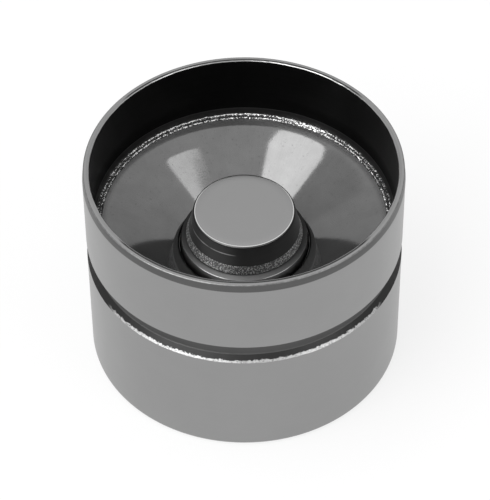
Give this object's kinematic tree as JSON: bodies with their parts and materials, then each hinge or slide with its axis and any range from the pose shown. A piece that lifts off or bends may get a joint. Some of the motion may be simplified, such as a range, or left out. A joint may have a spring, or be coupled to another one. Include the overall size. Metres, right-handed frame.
{
  "type": "hydraulic bucket tappet",
  "caption": "Steel cam follower bucket with an oil groove, a welded guide cone and a sprung hydraulic element that pushes on a valve stem.",
  "frame": {"origin": "centre of the cam face, which the part stands on", "axes": "+Z along the tappet's axis, out of its open end; +Y through the oil feed hole; -Y towards the picture's viewer"},
  "size_m": [0.035, 0.035, 0.026],
  "materials": {
    "ground_steel": "ground",
    "pressed_steel": "pressed, satin",
    "hardened_steel": "hardened, ground where it works",
    "spring_wire": "drawn",
    "ball_steel": "lapped"
  },
  "bodies": {
    "bucket": {"tappet_body": "ground_steel", "guide_cone": "pressed_steel"},
    "piston": {"plunger": "hardened_steel", "ball_cage": "pressed_steel", "ball_spring": "spring_wire", "return_spring": "spring_wire"},
    "element": {"element_housing": "hardened_steel", "retaining_ring": "spring_wire"},
    "valve_ball": {"check_ball": "ball_steel"}
  },
  "joints": [
    {"name": "element_spin", "type": "hinge", "parent": "bucket", "child": "piston", "pos_m": [0, 0, 0.01], "axis": [0, 0, 1], "continuous": true},
    {"name": "housing_slide", "type": "slide", "parent": "piston", "child": "element", "axis": [0, 0, 1], "range_m": [-0.0028, 0], "stiffness_N_per_m": 800, "springref_m": 0.0015, "deforming": ["return_spring"]},
    {"name": "ball_lift", "type": "slide", "parent": "piston", "child": "valve_ball", "axis": [0, 0, 1], "range_m": [0, 0.00025], "stiffness_N_per_m": 10, "springref_m": -0.0001, "deforming": ["ball_spring"]}
  ]
}
